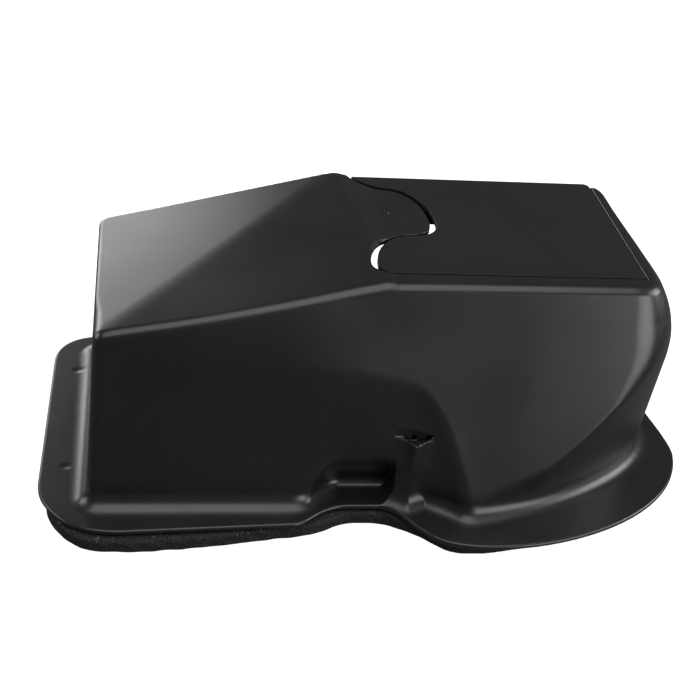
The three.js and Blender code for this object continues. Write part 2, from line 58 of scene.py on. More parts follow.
LEFT_WALL, LEFT_DRAFT = 21.6, 0.034
RECESS_WALL, RECESS_DRAFT = 16, 0.08         # front wall left of the bulge
CORNER_R = 5                                 # upright corners on the left
ROOF_CORNER = (28, 26, 93)                   # where the two roof facets start
LEFT_FACET = {"dx": 0.272, "dy": -0.041, "stretch": 1.037}
MIDDLE_FACET = {"dx": 0.1706, "dy": 0.058, "stretch": 1.016}
PEAK = {"x": 145, "z": 120, "fall": 0.22}    # small hump at the rear of the ridge
SIDE = {"x": 174.3, "y": 28.9, "slope": 0.719, "lean": 0.014, "stretch": 1.2343}   # left side of the bulge
FRONT_STRETCH, REAR_STRETCH = 1.038, 1.003   # length across a sloping wall per length along Y
BULGE_LEAN, RIGHT_LEAN = 0.014, -0.25
SHOULDER = {"draft": 0.03, "from": 70, "span": 45.6, "front": 16.0, "rear": 12.3}
FLANGE_FILLET, FLANGE_EDGE = 8.5, 1.2
NOTCH_SLOPE, NOTCH_SHRINK = 0.62, 0.86       # NOTCH_SHRINK makes up for that slope in the distance
CUT_EDGE = 0.5                               # rounding left by the smaller cuts

LID_LOW, LID_FRONT, LID_REAR, LID_GAP = 113.1, 47.0, 147.5, 1.0
LID_RIGHT, LID_SLANT, LID_CORNER = 287.3, 0.027, 3
OPENING_LOW = 110.4
RIB = {"deep": 4, "half": 0.75, "x": (196, 276), "y": (56, 132), "rows": (66, 94, 122), "columns": (205, 240)}
PAD = {"half": 6, "low": 0.6, "high": 12, "front": 16, "front_inner": 6, "inner": 4.4, "rear": 14,
       "hole": 1.9, "hole_top": 10.5}
LEDGE = {"left": 168, "rear_left": 156, "right": 284, "wall": 33, "low": 107.8, "high": 112}
POCKET = {"wall": 1.7, "floor": 37.3, "left": 169, "right": 187.5, "back": 20.4, "hole": 1.3}


# ---- distances --------------------------------------------------------------------------------

def clamp(v, lo=0.0, hi=1.0):
    return np.minimum(np.maximum(v, lo), hi)


def mix(a, b, t):
    return a + (b - a) * clamp(t)


def round_max(r, *parts):
    """What lies in all parts, with a quarter-round edge where two meet at about a right angle."""
    total = sum(np.maximum(r + p, 0) ** 2 for p in parts)
    deepest = parts[0]
    for p in parts[1:]:
        deepest = np.maximum(deepest, p)
    return np.minimum(-r, deepest) + np.sqrt(total)


def round_min(r, a, b):
    """What lies in a or b, with a round fillet between them."""
    return np.maximum(r, np.minimum(a, b)) - np.hypot(np.maximum(r - a, 0), np.maximum(r - b, 0))


def soft_max(k, a, b):
    """What lies in a and b, with a soft crease where they meet at a wide angle."""
    h = np.maximum(k - np.abs(a - b), 0)
    return np.maximum(a, b) + h * h / (4 * k)


def soft_min(k, a, b):
    h = np.maximum(k - np.abs(a - b), 0)
    return np.minimum(a, b) - h * h / (4 * k)


def block(p, x0, x1, y0, y1, z0, z1, r=0.5):
    x, y, z = p
    return round_max(r, x0 - x, x - x1, y0 - y, y - y1, z0 - z, z - z1)


# ---- outlines ---------------------------------------------------------------------------------

def path(start, *steps):
    """The points of an outline.

    A step is a point to go straight to, or the other three points of a cubic Bezier curve.
    """
    points = [np.array(start, float)]
    for step in steps:
        if len(step) == 2:
            points.append(np.array(step, float))
            continue
        a = points[-1]
        b, c, d = np.reshape(step, (3, 2))
        t = np.linspace(0, 1, 21)[1:, None]
        points.extend((1 - t) ** 3 * a + 3 * (1 - t) ** 2 * t * b + 3 * (1 - t) * t * t * c + t ** 3 * d)
    return np.array(points)


def polygon_distance(points, x, y):
    """Signed distance in the plane, negative inside the closed outline."""
    nearest = np.full(np.broadcast(x, y).shape, np.inf)
    inside = np.zeros(nearest.shape, bool)
    for a, b in zip(points, np.roll(points, -1, axis=0)):
        edge = b - a
        length = edge @ edge
        if length < 1e-12:
            continue
        t = clamp(((x - a[0]) * edge[0] + (y - a[1]) * edge[1]) / length)
        nearest = np.minimum(nearest, (x - a[0] - t * edge[0]) ** 2 + (y - a[1] - t * edge[1]) ** 2)
        if a[1] != b[1]:
            crossing = (a[1] > y) != (b[1] > y)
            inside ^= crossing & (x < (b[0] - a[0]) * (y - a[1]) / (b[1] - a[1]) + a[0])
    return np.where(inside, -1.0, 1.0) * np.sqrt(nearest)


class Plan:
    """The signed distance to an outline, kept on a 1 mm table and read through a cubic B-spline."""

    def __init__(self, points, margin=14):
        self.low = points.min(0) - margin
        size = np.ceil(points.max(0) + margin - self.low).astype(int) + 1
        self.size = size
        x = self.low[0] + np.arange(size[0])
        y = self.low[1] + np.arange(size[1])
        self.table = polygon_distance(points, x[:, None], y[None, :]).ravel()

    @staticmethod
    def weights(f):
        return ((1 - f) ** 3 / 6, (3 * f ** 3 - 6 * f ** 2 + 4) / 6,
                (-3 * f ** 3 + 3 * f ** 2 + 3 * f + 1) / 6, f ** 3 / 6)

    def __call__(self, x, y):
        x, y = np.broadcast_arrays(x, y)
        u = clamp(x - self.low[0], 1, self.size[0] - 2.001)
        v = clamp(y - self.low[1], 1, self.size[1] - 2.001)
        i, j = u.astype(int), v.astype(int)
        wu, wv = self.weights(u - i), self.weights(v - j)
        total = 0
        for a in range(4):
            row = (i + a - 1) * self.size[1] + j - 1
            total = total + wu[a] * sum(wv[b] * self.table[row + b] for b in range(4))
        return total


FLANGE = Plan(path(
    (38, -2.6), (120, 2.2), (130, 2.8, 134, 16.2, 149, 16.2), (164, 16.2), (173, 16.2, 178, 4, 187, -6),
    (193, -12.5, 204, -15, 218, -15), (262, -15, 322, 12, 331.3, 60), (333.4, 75, 324, 108, 321, 142),
    (320.5, 158, 311, 168.5, 295, 168.5), (26, 168.5), (12, 168.5, 0, 160, 0, 143), (-2.2, 36),
    (-2.2, 26, 0, 20, 5.5, 12.5), (11, 5, 18, -2.4, 38, -2.6)))
GASKET = Plan(path(
    (26, -5.4), (44, -7.6, 78, -4, 104, 1.4), (116, 3.6, 124, 4, 131, 6), (139, 8.5, 144, 14.2, 154, 14.6),
    (166, 15, 174, 11, 182, 5.5), (190, 0, 194, -9, 206, -9), (252, -9, 323.5, 24, 323.5, 66),
    (323.5, 90, 318, 114, 317, 142), (316.5, 156, 307, 165, 293, 165), (26, 165),
    (13, 165, 2, 158, 2, 143), (1.6, 28), (1.6, 14, 14, -3, 26, -5.4)))
BULGE = Plan(path(
    (-60, -37.5), (205, 5.7), (250, 13.5, 313, 45, 314, 80), (314, 104, 306, 122, 305.5, 146),
    (304.7, 190), (-60, 190)))
NOTCH = Plan(path(
    (116, -60), (116, 12), (129, 14, 133, 36.5, 147, 36.5), (163, 36.5), (174, 36.5, 180, 30, 186, 23),
    (212, 2), (212, -60)))
INLET_CORNERS = np.array([(70, 45), (262, 45), (262, 94), (122, 94), (70, 80)], float)


def rounded_outline(corners, radius):
    points = []
    for before, corner, after in zip(np.roll(corners, 1, axis=0), corners, np.roll(corners, -1, axis=0)):
        start = corner + (before - corner) / np.linalg.norm(before - corner) * radius
        end = corner + (after - corner) / np.linalg.norm(after - corner) * radius
        t = np.linspace(0, 1, 9)[:, None]
        points.extend((1 - t) ** 2 * start + 2 * (1 - t) * t * corner + t * t * end)
    return np.array(points)


INLET = Plan(rounded_outline(INLET_CORNERS, 8))


# ---- the hood ---------------------------------------------------------------------------------

def facet(x, y, z, plane):
    """Height over a roof facet, which is a plane through the roof's front left corner."""
    cx, cy, cz = ROOF_CORNER
    return (z - (cz + plane["dx"] * (x - cx) + plane["dy"] * (y - cy))) / plane["stretch"]


def roof(x, y, z):
    """The two sloping facets, the flat top and the small hump where they meet."""
    left, middle = facet(x, y, z, LEFT_FACET), facet(x, y, z, MIDDLE_FACET)
    top = z - np.maximum(ROOF_Z, PEAK["z"] - PEAK["fall"] * (x - PEAK["x"]))
    return soft_max(1.2, soft_max(0.7, left, middle), top)


# The sloping front face: how far back it is at its foot and at the height of the roof, from left to right.
FRONT_X = np.array([20, 68, 110, 147, 185, 207, 300], float)
FRONT_FOOT = np.array([11.5, 12.0, 4.7, -1.7, 2.3, 4.1, 4.1])
FRONT_HEAD = np.array([27.5, 27.3, 30.8, 34.6, 35.6, 35.8, 36.4])


def eased(stations):
    """The stations as a fine, smoothed table."""
    x = np.arange(0, 341, 4.0)
    width = 9.0
    dense = np.arange(-40, 381, 1.0)
    value = np.interp(dense, FRONT_X, stations)
    weight = np.exp(-((x[:, None] - dense) / width) ** 2)
    return x, (weight * value).sum(1) / weight.sum(1)


FOOT_LINE, HEAD_LINE = eased(FRONT_FOOT), eased(FRONT_HEAD)


def front(x, y, z):
    """Sloping front face, cut by the recessed wall on the left and the slanting side of the bulge."""
    foot, head = np.interp(x, *FOOT_LINE), np.interp(x, *HEAD_LINE)
    slope = (foot + (head - foot) * z / ROOF_Z - y) / FRONT_STRETCH
    recess = RECESS_WALL + RECESS_DRAFT * z - y
    side = (SIDE["y"] - SIDE["slope"] * (x - SIDE["x"]) + SIDE["lean"] * z - y) / SIDE["stretch"]
    crease = mix(0.7, mix(3.2, 1.5, z / 70), (x - 180) / 16)
    return soft_max(crease, slope, soft_min(7.0, recess, side))


def walls(x, y, z):
    """All the upright walls. The right one leans in evenly, then rolls in towards the roof."""
    left = LEFT_WALL + LEFT_DRAFT * z - x
    rear = (y - REAR_WALL - REAR_LEAN * z) / REAR_STRETCH
    lean = mix(mix(BULGE_LEAN, RIGHT_LEAN, (x - 205) / 40), REAR_LEAN, (y - 70) / 60)
    over = np.maximum(0, z - SHOULDER["from"]) / SHOULDER["span"]
    push = clamp((x - 215) / 80)
    roll = mix(SHOULDER["front"], SHOULDER["rear"], (y - 60) / 75)
    stretch = np.hypot(1, (SHOULDER["draft"] + 2 * roll * over / SHOULDER["span"]) * push)
    right = BULGE(x + (SHOULDER["draft"] * z + roll * over ** 2) * push, y - lean * z) / stretch
    around = round_max(CORNER_R, left, front(x, y, z), rear)
    return soft_max(1.6 + 9 * clamp((z - 58) / 40), round_max(3, right, rear), around)


def notch(x, y, z):
    """Distance to the relief in the foot, whose walls slope back at NOTCH_SLOPE."""
    return NOTCH_SHRINK * NOTCH(x, y + NOTCH_SLOPE * np.maximum(0, z))


def hood(x, y, z):
    """Distance to the hood's outer face; it goes on below the flange."""
    edge = 1.8 + 2.2 * clamp((62 - y) / 15)
    d = round_max(edge, roof(x, y, z), walls(x, y, z))
    low = z < 62
    d[low] = soft_max(5.0, d[low], -notch(x[low], y[low], z[low]))
    return d


SCOOP = {"left": 171.5, "tip": 178.6, "right": 189.5, "back": 20.0, "reach": 8.0, "top": 39.5}


def wedge(x, y, z, inset):
    """The scoop's pointed plan, which stands out half as far at its foot."""
    x0, x1, x2 = SCOOP["left"] + inset, SCOOP["tip"], SCOOP["right"] - inset
    back = SCOOP["back"]
    rise = (SCOOP["reach"] - 1.35 * inset) * mix(0.5, 1, z / SCOOP["top"])
    first = (-(x - x0) * rise - (y - back) * (x1 - x0)) / np.hypot(rise, x1 - x0)
    second = ((x - x1) * rise - (y - back + rise) * (x2 - x1)) / np.hypot(rise, x2 - x1)
    return np.maximum(np.maximum(soft_max(0.9, first, second), y - 33), np.maximum(x0 - x, x - x2))


def pocket(x, y, z):
    """The hollow behind the scoop's lip: a shallow recess in the wall and one small hole through it."""
    top = 43.8 - 0.2 * np.maximum(0, x - 176)
    across = np.maximum(POCKET["left"] - x, x - POCKET["right"])
    recess = np.maximum(np.maximum(z - top, POCKET["floor"] - z), np.maximum(y - POCKET["back"], across))
    recess = np.maximum(recess, np.minimum(wedge(x, y, z, POCKET["wall"]), SCOOP["top"] - z))
    square = np.maximum(np.abs(x - SCOOP["tip"]) - POCKET["hole"], np.abs(z - 38.9) - POCKET["hole"])
    hole = np.maximum(square, np.maximum(y - 31, 18 - y))
    return np.minimum(recess, hole)


PADS = [(38, 30), (108, 30), (240, 24), (38, 145), (170, 145), (285, 140)]


def add_pads(d, inner, p):
    """Bosses for the carrier's screws, on the inside of the walls."""
    x, y, z = p
    for cx, cy in PADS:
        if cy < 80:
            y0, y1 = cy - PAD["front"], cy + PAD["front_inner"]
        else:
            y0, y1 = cy - PAD["inner"], cy + PAD["rear"]
        solid = block(p, cx - PAD["half"], cx + PAD["half"], y0, y1, PAD["low"], PAD["high"])
        pad = np.maximum(solid, inner - WALL / 2)
        hole = np.maximum(np.hypot(x - cx, y - cy) - PAD["hole"], z - PAD["hole_top"])
        d = np.maximum(np.minimum(d, pad), -hole)
    return d


def add_ledges(d, inner, p):
    """Ledges under the front and rear edges of the lid. The cut for the lid trims their tops."""
    left, right, low, high = LEDGE["left"], LEDGE["right"], LEDGE["low"], LEDGE["high"]
    ledge = block(p, left, right, LEDGE["wall"], 52, low, high)
    ledge = np.minimum(ledge, block(p, left, right, LEDGE["wall"], 46.7, low, 114.6))
    ledge = np.minimum(ledge, block(p, LEDGE["rear_left"], right, 139.5, 153.5, low, high))
    return np.minimum(d, np.maximum(ledge, inner - WALL / 2))


# Shallow round dimples: place, height of the cutting ball's centre over that place, depth.
DIMPLES = [(12.6, 133.2, 0.0, 9.0, 0.35), (10.7, 47.7, 0.0, 9.0, 0.35), (168.0, 108.2, ROOF_Z, 2.6, 0.8)]


def shell(x, y, z):
    """Distance to the finished moulding, all but the crisp cut for the lid."""
    h = hood(x, y, z)
    d = h.copy()
    near = (x > 156) & (x < 204) & (y < 44) & (z < 52)
    if near.any():
        q = x[near], y[near], z[near]
        outside = round_max(CUT_EDGE, wedge(*q, 0), q[2] - SCOOP["top"])
        d[near] = round_min(2.5, d[near], outside)
    d = round_min(FLANGE_FILLET, d, round_max(FLANGE_EDGE, FLANGE(x, y), z))
    d = round_max(1.0, d, -FLANGE_THICK - z)
    d = round_max(CUT_EDGE, d, -(h + WALL))
    low = z < 16
    if low.any():
        d[low] = add_pads(d[low], h[low] + WALL, (x[low], y[low], z[low]))
    high = (z > 104) & (y > 28)
    if high.any():
        d[high] = add_ledges(d[high], h[high] + WALL, (x[high], y[high], z[high]))
    rear = y > 126
    if rear.any():
        d[rear] = round_max(CUT_EDGE, d[rear], -INLET(x[rear], z[rear]))
    if near.any():
        q = x[near], y[near], z[near]
        d[near] = round_max(CUT_EDGE, d[near], -pocket(*q))
    for cx, cy, cz, size, deep in DIMPLES:
        spot = (np.abs(x - cx) < 8) & (np.abs(y - cy) < 8) & (np.abs(z - cz) < 8)
        if spot.any():
            away = (x[spot] - cx) ** 2 + (y[spot] - cy) ** 2 + (z[spot] - cz - size) ** 2
            d[spot] = soft_max(0.25, d[spot], -(np.sqrt(away) - size - deep))
    return d


# ---- from distances to meshes -----------------------------------------------------------------

def lines(lo, hi, step, *finer):
    """Grid lines from lo to hi, step apart, or closer within each (from, to, step) of finer."""
    out = [lo]
    while out[-1] < hi:
        width = min([s for a, b, s in finer if a <= out[-1] < b] + [step])
        out.append(out[-1] + width)
    return np.array(out)


def sample(field, xs, ys, zs):
    def slab(part):
        grid = np.meshgrid(part, ys, zs, indexing="ij")
        shape = grid[0].shape
        return field(*[g.ravel() for g in grid]).reshape(shape)
    with ThreadPoolExecutor(4) as pool:
        return np.concatenate(list(pool.map(slab, np.array_split(xs, max(1, len(xs) // 12)))))


def gradient(field, p, h):
    g = np.empty_like(p)
    for axis in range(3):
        step = np.zeros(3)
        step[axis] = h
        g[:, axis] = field(*(p + step).T) - field(*(p - step).T)
    return g / (2 * h)


def surface(field, xs, ys, zs, rounds=3):
    """Surface nets: one vertex in each cell that the surface crosses, then moved onto the surface."""
    values = sample(field, xs, ys, zs)
    inside = values < 0
    corners = [(a, b, c) for a in (0, 1) for b in (0, 1) for c in (0, 1)]
    n = np.array(values.shape) - 1
    count = sum(inside[a:a + n[0], b:b + n[1], c:c + n[2]].astype(np.int8) for a, b, c in corners)
    cells = np.argwhere((count > 0) & (count < 8))
    index = np.full(tuple(n), -1, np.int64)
    index[tuple(cells.T)] = np.arange(len(cells))
    axes = (xs, ys, zs)
    total = np.zeros((len(cells), 3))
    hits = np.zeros(len(cells))
    for k, start in enumerate(corners):
        for axis in range(3):
            if start[axis]:
                continue
            end = list(start)
            end[axis] = 1
            a, b = cells + start, cells + end
            va, vb = values[tuple(a.T)], values[tuple(b.T)]
            cut = (va < 0) != (vb < 0)
            t = np.where(cut, va / np.where(cut, va - vb, 1), 0)
            pa = np.stack([axes[i][a[:, i]] for i in range(3)], 1)
            pb = np.stack([axes[i][b[:, i]] for i in range(3)], 1)
            total += np.where(cut[:, None], pa + (pb - pa) * t[:, None], 0)
            hits += cut
    verts = total / hits[:, None]
    for _ in range(rounds):
        g = gradient(field, verts, 0.2)
        step = -(field(*verts.T) / np.maximum((g * g).sum(1), 0.25))[:, None] * g
        size = np.linalg.norm(step, axis=1, keepdims=True)
        verts = verts + step * np.minimum(1, 0.5 / np.maximum(size, 1e-9))
    quads = []
    for axis in range(3):
        u, v = [(1, 2), (2, 0), (0, 1)][axis]
        first = [slice(1, -1)] * 3
        second = [slice(1, -1)] * 3
        first[axis] = slice(0, -1)
        second[axis] = slice(1, None)
        change = inside[tuple(first)] != inside[tuple(second)]
        at = np.argwhere(change)
        at[:, u] += 1
        at[:, v] += 1
        ring = []
        for du, dv in ((-1, -1), (0, -1), (0, 0), (-1, 0)):
            cell = at.copy()
            cell[:, u] += du
            cell[:, v] += dv
            ring.append(index[tuple(cell.T)])
        ring = np.stack(ring, 1)
        flip = ~inside[tuple(at.T)]
        ring[flip] = ring[flip, ::-1]
        quads.append(ring)
    return verts, np.concatenate(quads)


def make_object(name, verts, faces):
    """A mesh object from millimetres at the flange corner."""
    mesh = bpy.data.meshes.new(name)
    points = (np.asarray(verts, float) - ORIGIN) * MM
    mesh.from_pydata(points.tolist(), [], [list(map(int, f)) for f in faces])
    mesh.validate()
    obj = bpy.data.objects.new(name, mesh)
    bpy.context.scene.collection.objects.link(obj)
    return obj


def make_dense(name, verts, quads):
    """As make_object, for many quads."""
    mesh = bpy.data.meshes.new(name)
    mesh.vertices.add(len(verts))
    mesh.vertices.foreach_set("co", ((verts - ORIGIN) * MM).astype(np.float32).ravel())
    mesh.loops.add(quads.size)
    mesh.loops.foreach_set("vertex_index", quads.astype(np.int32).ravel())
    mesh.polygons.add(len(quads))
    mesh.polygons.foreach_set("loop_start", np.arange(0, quads.size, 4, dtype=np.int32))
    mesh.update(calc_edges=True)
    obj = bpy.data.objects.new(name, mesh)
    bpy.context.scene.collection.objects.link(obj)
    return obj


def bake_modifiers(obj):
    """The object's modifiers become its mesh."""
    evaluated = obj.evaluated_get(bpy.context.evaluated_depsgraph_get())
    mesh = bpy.data.meshes.new_from_object(evaluated)
    obj.modifiers.clear()
    old, obj.data = obj.data, mesh
    mesh.name = obj.name
    bpy.data.meshes.remove(old)


def combine(obj, other, operation):
    m = obj.modifiers.new("combine", "BOOLEAN")
    m.operation, m.solver, m.object = operation, "MANIFOLD", other
    bake_modifiers(obj)
    bpy.data.objects.remove(other)


def thin_out(obj, ratio):
    m = obj.modifiers.new("thin", "DECIMATE")
    m.ratio = ratio
    bake_modifiers(obj)


def smooth_by_field(obj, field, limit=35.0, h=0.35):
    """Shading normals from the distance field, except on faces that a crisp cut has made."""
    mesh = obj.data
    mesh.polygons.foreach_set("use_smooth", np.ones(len(mesh.polygons), bool))
    co = np.empty(len(mesh.vertices) * 3, np.float32)
    mesh.vertices.foreach_get("co", co)
    p = co.reshape(-1, 3).astype(float) / MM + ORIGIN
    g = gradient(field, p, h)
    g /= np.maximum(np.linalg.norm(g, axis=1, keepdims=True), 1e-9)
    corner = np.empty(len(mesh.loops), np.int32)
    mesh.loops.foreach_get("vertex_index", corner)
    face = np.empty(len(mesh.polygons) * 3, np.float32)
    mesh.polygons.foreach_get("normal", face)
    size = np.empty(len(mesh.polygons), np.int32)
    mesh.polygons.foreach_get("loop_total", size)
    flat = np.repeat(face.reshape(-1, 3), size, axis=0)
    bent = g[corner]
    keep = (bent * flat).sum(1) > math.cos(math.radians(limit))
    mesh.normals_split_custom_set(np.where(keep[:, None], bent, flat).tolist())


def prism(name, outline, z0, z1):
    """An upright solid over a closed outline."""
    n = len(outline)
    verts = [(x, y, z) for z in (z0, z1) for x, y in outline]
    area = sum(a[0] * b[1] - b[0] * a[1] for a, b in zip(outline, np.roll(outline, -1, axis=0)))
    order = range(n) if area > 0 else range(n - 1, -1, -1)
    ring = list(order)
    faces = [ring[::-1], [i + n for i in ring]]
    faces += [(a, b, b + n, a + n) for a, b in zip(ring, ring[1:] + ring[:1])]
    return make_object(name, verts, faces)


def cuboid(name, x0, x1, y0, y1, z0, z1):
    return prism(name, [(x0, y0), (x1, y0), (x1, y1), (x0, y1)], z0, z1)


def bevel(obj, width_mm, segments=2, angle=40):
    m = obj.modifiers.new("bevel", "BEVEL")
    m.width, m.segments = width_mm * MM, segments
    m.limit_method, m.angle_limit = "ANGLE", math.radians(angle)
    m.harden_normals = False
    m.use_clamp_overlap = True


def shade_by_angle(obj, angle=35):
    for face in obj.data.polygons:
        face.use_smooth = True
    obj.data.set_sharp_from_angle(angle=math.radians(angle))


# ---- lid --------------------------------------------------------------------------------------

def seam(side):
    """Points of the S-shaped seam. side is +1 for the lid's edge and -1 for the roof's."""
    s = side * LID_GAP / 2
    r = 2.2 if side > 0 else 0
    t = 2.2 if side < 0 else 0
    w = 1.1 if side > 0 else 0
    start = (166, LID_FRONT if side > 0 else LID_FRONT - LID_GAP)
    return path(
        start, (160 + s, 46.8 + s, 156.5 + s - t, 50, 157 + s - t, 57),
        (157.5 + s - t, 70, 165 + s, 84 - s, 178 + s, 84.5 - s),
        (186 + s + r, 84.8 - s, 190 + s + r, 90, 189.7 + s + r, 99),
        (190 + s + r, 114, 184 + s + w, 131 + s + w, 172 + s + w, 133.2 + s + w),
        (163 + s + w, 134.5 + s + w, 156.5 + s + w, 140 + s + w, 153.8 + s + w, LID_REAR))


def hinge_line(y):
    """X of the lid's right edge, which slants a little."""
    return LID_RIGHT - LID_SLANT * (y - LID_FRONT)


def lid_outline():
    x = hinge_line(LID_REAR)
    end = LID_REAR - LID_CORNER
    corner = path((x - LID_CORNER, LID_REAR), (x - 1.4, LID_REAR, x, LID_REAR - 1.4, hinge_line(end), end))
    return np.vstack([[(hinge_line(LID_FRONT), LID_FRONT)], seam(1), corner[::2]])


def opening_outline():
    near, far = LID_FRONT - LID_GAP, LID_REAR + 20
    right = [(hinge_line(far) + LID_GAP, far), (hinge_line(near) + LID_GAP, near)]
    return np.vstack([seam(-1), [(153.3, far)], right])


def flared(outline, z0, z1, flare):
    """An upright cutter that widens above z1 at 45 degrees, which leaves a chamfer on the edge it cuts."""
    n = len(outline)
    before, after = np.roll(outline, 1, axis=0), np.roll(outline, -1, axis=0)
    along = after - before
    along /= np.linalg.norm(along, axis=1, keepdims=True)
    area = (outline[:, 0] * after[:, 1] - after[:, 0] * outline[:, 1]).sum()
    out = np.stack([along[:, 1], -along[:, 0]], 1) * np.sign(area)
    rings = [(outline, z0), (outline, z1), (outline + out * flare, z1 + flare)]
    verts = [(x, y, z) for ring, z in rings for x, y in ring]
    ids = list(range(n)) if area > 0 else list(range(n - 1, -1, -1))
    faces = [ids[::-1], [i + 2 * n for i in ids]]
    for a, b in zip(ids, ids[1:] + ids[:1]):
        faces += [(a, b, b + n, a + n), (a + n, b + n, b + 2 * n, a + 2 * n)]
    return make_object("lid_cut", verts, faces)


def make_lid():
    lid = prism("access_lid_skin", lid_outline(), LID_LOW, ROOF_Z)
    half, low, high = RIB["half"], LID_LOW - RIB["deep"], LID_LOW + 0.5
    for y in RIB["rows"]:
        combine(lid, cuboid("rib", *RIB["x"], y - half, y + half, low, high), "UNION")
    for x in RIB["columns"]:
        combine(lid, cuboid("rib", x - half, x + half, *RIB["y"], low, high), "UNION")
    near, far = LID_FRONT + 2, LID_REAR - 4
    web = [(hinge_line(near) - 1, near), (hinge_line(near) + 0.7, near), (hinge_line(far) + 0.7, far),
           (hinge_line(far) - 1, far)]
    combine(lid, prism("web", web, ROOF_Z - 0.6, ROOF_Z - 0.2), "UNION")
    shade_by_angle(lid)
    bevel(lid, 0.4, 3)
    return lid


# ---- materials --------------------------------------------------------------------------------

class Nodes:
    """A short way to wire a material's nodes."""

    def __init__(self, name, roughness, metallic=0.0, specular=0.5):
        self.material = bpy.data.materials.new(name)
        self.material.use_nodes = True
        self.tree = self.material.node_tree
        self.shader = next(n for n in self.tree.nodes if n.type == "BSDF_PRINCIPLED")
        self.shader.inputs["Roughness"].default_value = roughness
        self.shader.inputs["Metallic"].default_value = metallic
        self.shader.inputs["Specular IOR Level"].default_value = specular
        self.place = self.add("ShaderNodeTexCoord").outputs["Object"]

    def add(self, kind, **values):
        node = self.tree.nodes.new(kind)
        for key, value in values.items():
            setattr(node, key, value)
        return node

    def wire(self, a, b):
        self.tree.links.new(a, b)

    def stretched(self, scale, turn=(0, 0, 0)):
        node = self.add("ShaderNodeMapping")
        node.inputs["Scale"].default_value = scale
        node.inputs["Rotation"].default_value = turn
        self.wire(self.place, node.inputs["Vector"])
        return node.outputs["Vector"]

    def noise(self, scale, detail=3.0, rough=0.5, vector=None):
        node = self.add("ShaderNodeTexNoise")
        node.inputs["Scale"].default_value = scale
        node.inputs["Detail"].default_value = detail
        node.inputs["Roughness"].default_value = rough
        self.wire(vector or self.place, node.inputs["Vector"])
        return node.outputs["Fac"]

    def cells(self, scale):
        node = self.add("ShaderNodeTexVoronoi")
        node.inputs["Scale"].default_value = scale
        self.wire(self.place, node.inputs["Vector"])
        return node.outputs["Distance"]

    def ranged(self, value, a, b, low, high):
        """value from a..b becomes low..high."""
        node = self.add("ShaderNodeMapRange")
        for key, number in zip(("From Min", "From Max", "To Min", "To Max"), (a, b, low, high)):
            node.inputs[key].default_value = number
        self.wire(value, node.inputs["Value"])
        return node.outputs["Result"]

    def math(self, operation, a, b):
        node = self.add("ShaderNodeMath", operation=operation)
        for socket, value in zip(node.inputs, (a, b)):
            if isinstance(value, (int, float)):
                socket.default_value = value
            else:
                self.wire(value, socket)
        return node.outputs[0]

    def blend(self, factor, a, b):
        node = self.add("ShaderNodeMix", data_type="RGBA")
        self.wire(factor, node.inputs[0])
        for socket, value in zip((node.inputs[6], node.inputs[7]), (a, b)):
            if isinstance(value, tuple):
                socket.default_value = (*value, 1)
            else:
                self.wire(value, socket)
        return node.outputs[2]

    def colour(self, output):
        self.wire(output, self.shader.inputs["Base Color"])

    def roughness(self, output):
        self.wire(output, self.shader.inputs["Roughness"])

    def bump(self, height, distance_mm, strength=1.0, under=None):
        node = self.add("ShaderNodeBump")
        node.inputs["Distance"].default_value = distance_mm * MM
        node.inputs["Strength"].default_value = strength
        self.wire(height, node.inputs["Height"])
        if under:
            self.wire(under, node.inputs["Normal"])
        self.wire(node.outputs["Normal"], self.shader.inputs["Normal"])
        return node.outputs["Normal"]


def moulded_plastic(name, dark, pale, roughness, specular, streaks=True):
    """Satin polypropylene: eroded-mould grain, slow waves, rub marks and a little dust."""
    n = Nodes(name, roughness, specular=specular)
    cloud = n.noise(22, 4)
    tint = n.ranged(cloud, 0.3, 0.7, 0, 0.6)
    rough = n.ranged(cloud, 0.3, 0.7, roughness - 0.03, roughness + 0.04)
    if streaks:
        rubs = n.noise(1, 5, 0.62, n.stretched((700, 60, 60), (0, 0, math.radians(28))))
        marks = n.ranged(rubs, 0.52, 0.8, 0, 1)
        tint = n.math("ADD", tint, n.math("MULTIPLY", marks, 0.5))
        rough = n.math("ADD", rough, n.math("MULTIPLY", marks, 0.04))
    n.colour(n.blend(tint, dark, pale))
    n.roughness(rough)
    wave = n.bump(n.noise(9, 1), 0.25, 0.25)
    n.bump(n.noise(1500, 2), 0.012, 0.5, wave)
    return n.material


def foam(name, speckle=0.0):
    """Open-cell foam: pits between struts, coloured darker as painted shade in the hollows, with pale crumbs
    of adhesive along its top edge.
    """
    n = Nodes(name, 0.95, specular=0.2)
    pits = n.cells(900)
    lumps = n.noise(260, 3)
    # painted shade: the colour goes darker towards the bottom of each cell pit, where the hollows fall in
    # shade
    base = n.blend(n.ranged(pits, 0.15, 0.6, 0, 1), (0.006, 0.006, 0.0065), (0.022, 0.022, 0.023))
    if speckle:
        height = n.add("ShaderNodeSeparateXYZ")
        n.wire(n.place, height.inputs[0])
        near_top = n.ranged(height.outputs["Z"], 0.0052, 0.0072, 0, 1)
        crumbs = n.ranged(n.noise(620, 4, 0.7), 0.60, 0.68, 0, 1)
        patches = n.ranged(n.noise(38, 2), 0.45, 0.62, 0.15, 1)
        amount = n.math("MULTIPLY", n.math("MULTIPLY", crumbs, near_top), patches)
        base = n.blend(n.math("MULTIPLY", amount, speckle), base, (0.42, 0.41, 0.38))
    n.colour(base)
    coarse = n.bump(lumps, 0.5, 0.8)
    n.bump(pits, 0.4, 0.9, coarse)
    return n.material


def paper(name):
    n = Nodes(name, 0.9, specular=0.2)
    fibres = n.noise(1, 5, 0.6, n.stretched((350, 1400, 350)))
    n.colour(n.blend(n.ranged(fibres, 0.3, 0.7, 0, 1), (0.66, 0.63, 0.54), (0.8, 0.77, 0.69)))
    n.bump(fibres, 0.05, 0.6)
    return n.material


